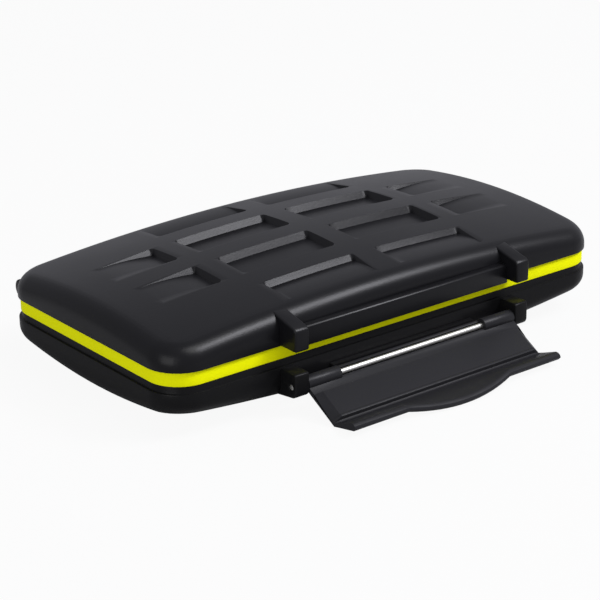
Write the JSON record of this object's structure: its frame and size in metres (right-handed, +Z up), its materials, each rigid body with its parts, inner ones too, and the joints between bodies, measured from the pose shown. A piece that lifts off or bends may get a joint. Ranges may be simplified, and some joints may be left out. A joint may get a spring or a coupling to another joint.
{
  "type": "memory card case",
  "caption": "Flat crowned two-shell card case that closes on a coloured seal, with rear hinges and a swing latch hanging open in front.",
  "frame": {"origin": "middle of the flat land under the base shell, on which the closed case rests", "axes": "+X along the long side, +Y towards the rear hinges, +Z up through the lid; the latch is on the -Y side"},
  "size_m": [0.147, 0.1103, 0.0312],
  "materials": {
    "base_plastic": "satin black plastic",
    "lid_plastic": "satin dark grey plastic",
    "latch_plastic": "satin dark grey plastic",
    "seal_rubber": "matt lemon yellow silicone",
    "steel": "bright drawn wire",
    "tray_rubber": "matt black soft insert"
  },
  "bodies": {
    "base": {"base_shell": "base_plastic", "seal_ring": "seal_rubber", "base_tray": "tray_rubber", "latch_pin": "steel", "hinge_pin_left": "steel", "hinge_pin_right": "steel"},
    "lid": {"lid_shell": "lid_plastic", "lid_tray": "tray_rubber"},
    "latch": {"latch": "latch_plastic"}
  },
  "joints": [
    {"name": "lid_hinge", "type": "hinge", "parent": "base", "child": "lid", "pos_m": [0, 0.042, 0.01635], "axis": [-1, 0, 0], "range_deg": [0, 180]},
    {"name": "latch_hinge", "type": "hinge", "parent": "base", "child": "latch", "pos_m": [0, -0.043, 0.0082], "axis": [-1, 0, 0], "range_deg": [-60, 120]}
  ]
}
